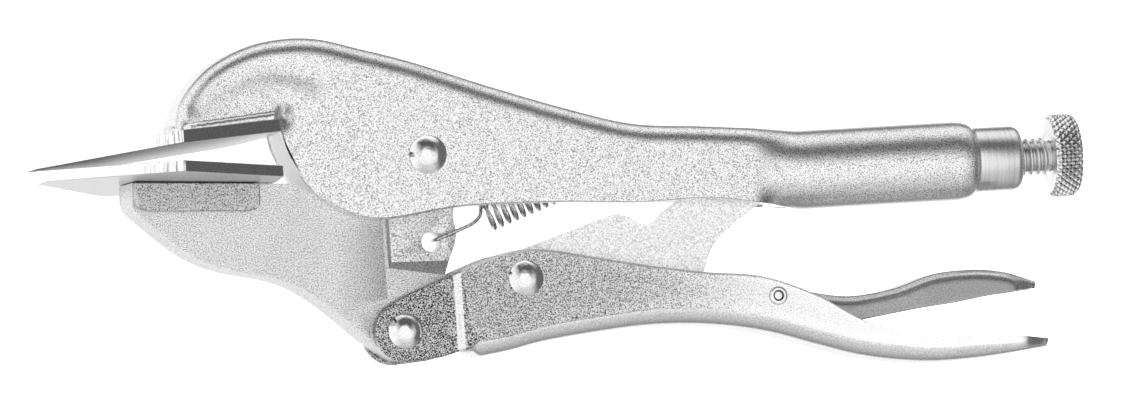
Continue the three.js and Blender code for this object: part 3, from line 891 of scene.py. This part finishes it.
# Points (x, y) along the handle's web, which is its lower edge, and along its cut edge.
LEVER_WEB = [
    (6.7, -32.4), (14, -31.4), (21, -30), (31.5, -28.8), (42, -28.1), (53, -28.6), (64, -30.5),
    (74.3, -33.7), (82.2, -36.1), (90.2, -37.6), (98.2, -38.25), (108, -37.88), (119, -36.7),
]
LEVER_EDGE = [
    (5.2, -15.6), (13.5, -12.9), (21, -12.6), (31, -14.6), (42, -16.9), (52.6, -18.7),
    (64, -20.2), (74.3, -24.3), (82.5, -29.4), (90.5, -32.6), (98.5, -33.7), (108, -33.9),
    (119.3, -35),
]


def lever_form(x, height):
    """The handle's section, narrower at its tip."""
    return folded(LEVER_HALF - 3.2 * smoothstep(x, 114, 120), height, BODY_BEND, LEVER_WALL)


def stepped(web):
    """The web rises to the ears over the first few millimetres."""
    return (web[0], web[1] + LEVER_STEP * (1 - smoothstep(web[0], LEVER_WEB[0][0] - 0.3, STEP_END)))


def lever_ribs():
    webs, edges = spline(LEVER_WEB, LEVER_RIBS), spline(LEVER_EDGE, LEVER_RIBS)
    ribs = []
    for web, edge in zip(webs, edges):
        web = stepped(web)
        ribs.append(rib(web, edge, lever_form(web[0], (Vector(web) - Vector(edge)).length)))
    return ribs


lever = lofted("handle_channel", rounded_tip(lever_ribs(), 1.2), HANDLE)
burnish(lever)
place(lever, "moving_handle", "nickel_sheet", "lever")


JOGGLE, JOGGLE_START, JOGGLE_END = 1.17, 3.5, 5.1
EAR_TOP = spline([(-9.2, -21), (-6.2, -19.9), (0.8, -17.3), (6.4, -15.3), (9.4, -14.6)], 26)
EAR_BOTTOM = [(-6.35, -32.5), (0.5, -32.0), (3.4, -31.2), (6.2, -30.6), (9.4, -28)]


def height_at(line, x):
    """Height of a line at x, or None beside it."""
    for (x0, y0), (x1, y1) in zip(line, line[1:]):
        if x0 <= x <= x1:
            return y0 + (y1 - y0) * (x - x0) / (x1 - x0)
    return None


def ear_loop(x, side):
    """A slice of an ear: a rounded oblong that steps outwards over the joggle."""
    dx = x - LEVER_PIVOT[0]
    round_half = math.sqrt(max(EAR_R**2 - dx * dx, 0.0025)) if dx < 0 else EAR_R
    round_top, round_bottom = LEVER_PIVOT[1] + round_half, LEVER_PIVOT[1] - round_half
    top = height_at(EAR_TOP, x)
    top = round_top if top is None else round_top + (top - round_top) * smoothstep(x, -9.2, -5.8)
    bottom = height_at(EAR_BOTTOM, x)
    bottom = round_bottom if bottom is None else bottom
    step = JOGGLE * smoothstep(x, JOGGLE_START, JOGGLE_END)
    inner, outer = EAR_HALF - LEVER_WALL + step, EAR_HALF + step
    e = min(0.35, (top - bottom) * 0.3)
    corners = [(inner, bottom + e), (inner + e, bottom), (outer - e, bottom), (outer, bottom + e),
               (outer, top - e), (outer - e, top), (inner + e, top), (inner, top - e)]
    return [point(x, y, side * z) for z, y in corners]


def ear_stations():
    """x of an ear's slices: closer together round its end and over the joggle."""
    flat_start, flat_end, ear_end = LEVER_PIVOT[0], 3.4, 9.0
    stations = [flat_start - EAR_R * math.cos(math.pi / 2 * i / 16) for i in range(16)]
    stations += [flat_start + (flat_end - flat_start) * i / 8 for i in range(9)]
    return stations + [flat_end + (ear_end - flat_end) * i / 26 for i in range(1, 27)]


for side, label in ((1, "near"), (-1, "far")):
    ear = lofted("handle_ear_" + label, [ear_loop(x, side) for x in ear_stations()], EAR, 30)
    joggle_x = point(3, 0).x
    paint(ear, BURNISHED, lambda face: face.normal.x < -0.25 and face.center.x > joggle_x)
    place(ear, "moving_handle", "nickel_sheet")

# Toggle link -------------------------------------------------------------------------------

LINK_TIP_R = 3
link_outline = arc(TOGGLE_PIVOT, 5.2, 270, 112, 26)
link_outline += [(37.3, -6.4)]
link_outline += arc((43.2, -5.2), 3.6, 215, 330, 24)
link_outline += [(52, -3.4), (63, 1.2)]
link_outline += arc((LINK_END - LINK_TIP_R, 0), LINK_TIP_R, 100, -75, 18)
link_outline += spline([(65.5, -6), (60.3, -9.6), (56, -13.3), (53.6, -18.4)], 24)
link_outline += [(49, -21.4)]
link = prism("toggle_plate", link_outline, -LINK_HALF, LINK_HALF, LINK)
bevel(link, 0.25, 2, 30)
place(link, "link", "nickel_forging", "toggle_link")

# Release lever -----------------------------------------------------------------------------

RELEASE_WEB = [
    (56.2, -21.2), (61, -21.7), (68, -22), (75, -23.7), (82, -24.7), (90, -23.8), (98, -21.5),
    (106, -21.1), (112, -21.9), (117.8, -23.8),
]
RELEASE_EDGE = [
    (56.6, -24.2), (61, -26.4), (68, -27.2), (75, -28.4), (83, -29.3), (91, -28.4), (98, -27.5),
    (105, -26.8), (111.5, -25.9), (117.4, -25.4),
]


def release_form(x, height):
    """The release lever's section: it widens under the thumb and narrows at the tip."""
    width = 5.3 + 1.6 * smoothstep(x, 82, 96) - 2.6 * smoothstep(x, 113, 119)
    return folded(width, height, 2.6, 1.5)


release_ribs = rounded_tip(channel(RELEASE_WEB, RELEASE_EDGE, 90, release_form), 1.1)
release = lofted("release_tongue", release_ribs, TONGUE)
burnish(release)
place(release, "release", "nickel_sheet", "release_lever")

# Return spring -----------------------------------------------------------------------------

COIL_START, COIL_STEPS, TAIL_LENGTH = 12.2, 24, 9


def spring_points():
    """The wire from the hook in the jaw's tail, through the coil, to the hook in the shell."""
    hole, anchor = Vector(SPRING_HOLE), Vector(SPRING_ANCHOR)
    length = (anchor - hole).length
    ahead = (anchor - hole).normalized()
    side = Vector((-ahead.y, ahead.x))

    def at(s, across, z):
        q = hole + ahead * s + side * across
        return (q.x, q.y, z)

    hook = [
        at(0.9, 0, -0.6), at(0.9, 0, 1.6), at(1.5, 0, 2.9), at(3, 0, 3.2), at(6, 0, 3.2),
        at(8.6, 0.1, 3), at(10.6, 0.8, 2.4), at(11.6, 1.9, 1.3),
    ]
    turns = int((length - COIL_START - TAIL_LENGTH) / SPRING_PITCH)
    coil = []
    for i in range(turns * COIL_STEPS + 1):
        a = 2 * math.pi * i / COIL_STEPS
        s = COIL_START + SPRING_PITCH * i / COIL_STEPS
        coil.append(at(s, SPRING_R * math.cos(a), SPRING_R * math.sin(a)))
    end = COIL_START + SPRING_PITCH * turns
    tail = [at(end + 2, 1.2, 2.1), at(length - 1.6, 0, 2.1), at(length - 0.2, 0, 1.5), at(length, 0, -1.2)]
    path = spline(hook + coil[:1], 36)[:-1] + coil + spline(coil[-1:] + tail, 24)[1:]
    return [point(*p) for p in path]


spring = tube("coil_spring", spring_points(), SPRING_WIRE, WIRE, 9)
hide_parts("return_spring")
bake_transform(spring)

# Floor, light and camera -------------------------------------------------------------------

FLOOR_Z, FLOOR_HALF = -40.3, 3.0
FILL_SIZE, FILL_POWER = 3.0, 90
PART_MIDDLE = point(27, -4, 0)


def floor():
    """A pale paper floor just under the part, which lies on its side; it isn't mirrored in the metal."""
    mesh = bpy.data.meshes.new("floor")
    corners = [(x * FLOOR_HALF, y * FLOOR_HALF, 0) for x, y in ((-1, -1), (1, -1), (1, 1), (-1, 1))]
    mesh.from_pydata(corners, [], [(0, 1, 2, 3)])
    obj = bpy.data.objects.new("floor", mesh)
    bpy.context.collection.objects.link(obj)
    obj.location = point(0, 0, FLOOR_Z)
    nodes = Nodes("paper")
    nodes.feed("Base Color", nodes.ramp(nodes.noise(9), [(0.3, grey(0.9)), (0.7, grey(0.93))]))
    nodes.shader.inputs["Roughness"].default_value = 0.9
    nodes.shader.inputs["Emission Color"].default_value = (1, 1, 1, 1)
    nodes.shader.inputs["Emission Strength"].default_value = 0.7
    mesh.materials.append(nodes.material)
    obj.visible_glossy = False


floor()


def room_fill():
    """A wide soft light over the part that lights the dull surfaces only."""
    data = bpy.data.lights.new("room_fill", "AREA")
    data.shape = "RECTANGLE"
    data.size = data.size_y = FILL_SIZE
    data.energy = FILL_POWER
    obj = bpy.data.objects.new("room_fill", data)
    bpy.context.collection.objects.link(obj)
    offset = Vector((-0.2, -0.1, 2.2))
    obj.location = PART_MIDDLE + offset
    obj.rotation_euler = (-offset).to_track_quat("-Z", "Y").to_euler()
    obj.visible_glossy = False
    obj.visible_camera = False


room_fill()


def studio():
    """A pale room as the camera sees it: white in front (+Z), dark above (+Y), grey below, white at
    the left and behind, dark at the right. The camera's own rays see an even pale backdrop."""
    world = bpy.data.worlds.new("studio")
    bpy.context.scene.world = world
    world.use_nodes = True
    tree = world.node_tree
    new, link = tree.nodes.new, tree.links.new
    parts = new("ShaderNodeSeparateXYZ")
    link(new("ShaderNodeTexCoord").outputs["Generated"], parts.inputs[0])

    def ranged(axis, low, high):
        node = new("ShaderNodeMapRange")
        node.inputs["From Min"].default_value = low
        node.inputs["From Max"].default_value = high
        link(parts.outputs[axis], node.inputs["Value"])
        return node.outputs["Result"]

    def by_angle(*stops):
        """Grey values by the angle from +Z, in degrees."""
        node = new("ShaderNodeValToRGB")
        rows = sorted((0.5 + 0.5 * math.cos(math.radians(angle)), value) for angle, value in stops)
        while len(node.color_ramp.elements) < len(rows):
            node.color_ramp.elements.new(0.5)
        for element, (at, value) in zip(node.color_ramp.elements, rows):
            element.position = at
            element.color = (*grey(value), 1)
        link(ranged("Z", -1, 1), node.inputs["Fac"])
        return node.outputs["Color"]

    def mixed(factor, first, second):
        node = new("ShaderNodeMix")
        node.data_type = "RGBA"
        link(factor, node.inputs["Factor"])
        link(first, node.inputs[6])
        link(second, node.inputs[7])
        return node.outputs[2]

    above = by_angle((0, 1), (22, 1), (32, 0.35), (42, 0.1), (66, 0.1), (84, 1), (112, 1), (126, 0.08),
                     (180, 0.05))
    below = by_angle((0, 1), (34, 0.95), (56, 0.66), (90, 0.52), (120, 0.32), (150, 0.12), (180, 0.1))
    left = by_angle((0, 1), (60, 0.95), (90, 1), (180, 1))
    right = by_angle((0, 1), (36, 1), (60, 0.14), (105, 0.12), (150, 0.6), (180, 0.6))
    behind = by_angle((0, 1), (180, 1))
    room = mixed(ranged("Y", -0.2, 0.25), below, above)
    room = mixed(ranged("X", -0.35, -0.75), room, left)
    room = mixed(ranged("X", 0.5, 0.85), room, right)
    room = mixed(ranged("Z", -0.74, -0.85), room, behind)
    lit, backdrop = new("ShaderNodeBackground"), new("ShaderNodeBackground")
    link(room, lit.inputs["Color"])
    lit.inputs["Strength"].default_value = 1.25
    backdrop.inputs["Color"].default_value = (*grey(0.93), 1)
    mix = new("ShaderNodeMixShader")
    link(new("ShaderNodeLightPath").outputs["Is Camera Ray"], mix.inputs[0])
    link(lit.outputs[0], mix.inputs[1])
    link(backdrop.outputs[0], mix.inputs[2])
    output = next(node for node in tree.nodes if node.type == "OUTPUT_WORLD")
    link(mix.outputs[0], output.inputs["Surface"])


studio()
bpy.context.scene.view_settings.view_transform = "Standard"

VIEW_LEFT, VIEW_LOW, VIEW_ROLL = math.radians(13.2), math.radians(2.6), math.radians(3.9)
VIEW_WIDTH_MM, VIEW_DISTANCE, VIEW_CLIP = 214.7, 3.5, 20
VIEW_CENTRE = point(27.44, -3.68)
SENSOR_WIDTH = 36


def camera():
    """A long lens that looks along -Z from a little to the left and below, rolled by the view's tilt."""
    data = bpy.data.cameras.new("camera")
    data.sensor_width = SENSOR_WIDTH
    data.lens = SENSOR_WIDTH * VIEW_DISTANCE / (VIEW_WIDTH_MM * MM)
    data.clip_end = VIEW_CLIP
    obj = bpy.data.objects.new("camera", data)
    bpy.context.collection.objects.link(obj)
    back = Vector((-math.sin(VIEW_LEFT) * math.cos(VIEW_LOW), -math.sin(VIEW_LOW),
                   math.cos(VIEW_LEFT) * math.cos(VIEW_LOW)))
    right = Vector((math.cos(VIEW_LEFT), 0, math.sin(VIEW_LEFT)))
    up = back.cross(right)
    rolled_right = right * math.cos(VIEW_ROLL) - up * math.sin(VIEW_ROLL)
    rolled_up = right * math.sin(VIEW_ROLL) + up * math.cos(VIEW_ROLL)
    turn = Matrix((rolled_right, rolled_up, back)).transposed().to_4x4()
    turn.translation = VIEW_CENTRE + back * VIEW_DISTANCE
    obj.matrix_world = turn
    bpy.context.scene.camera = obj


camera()
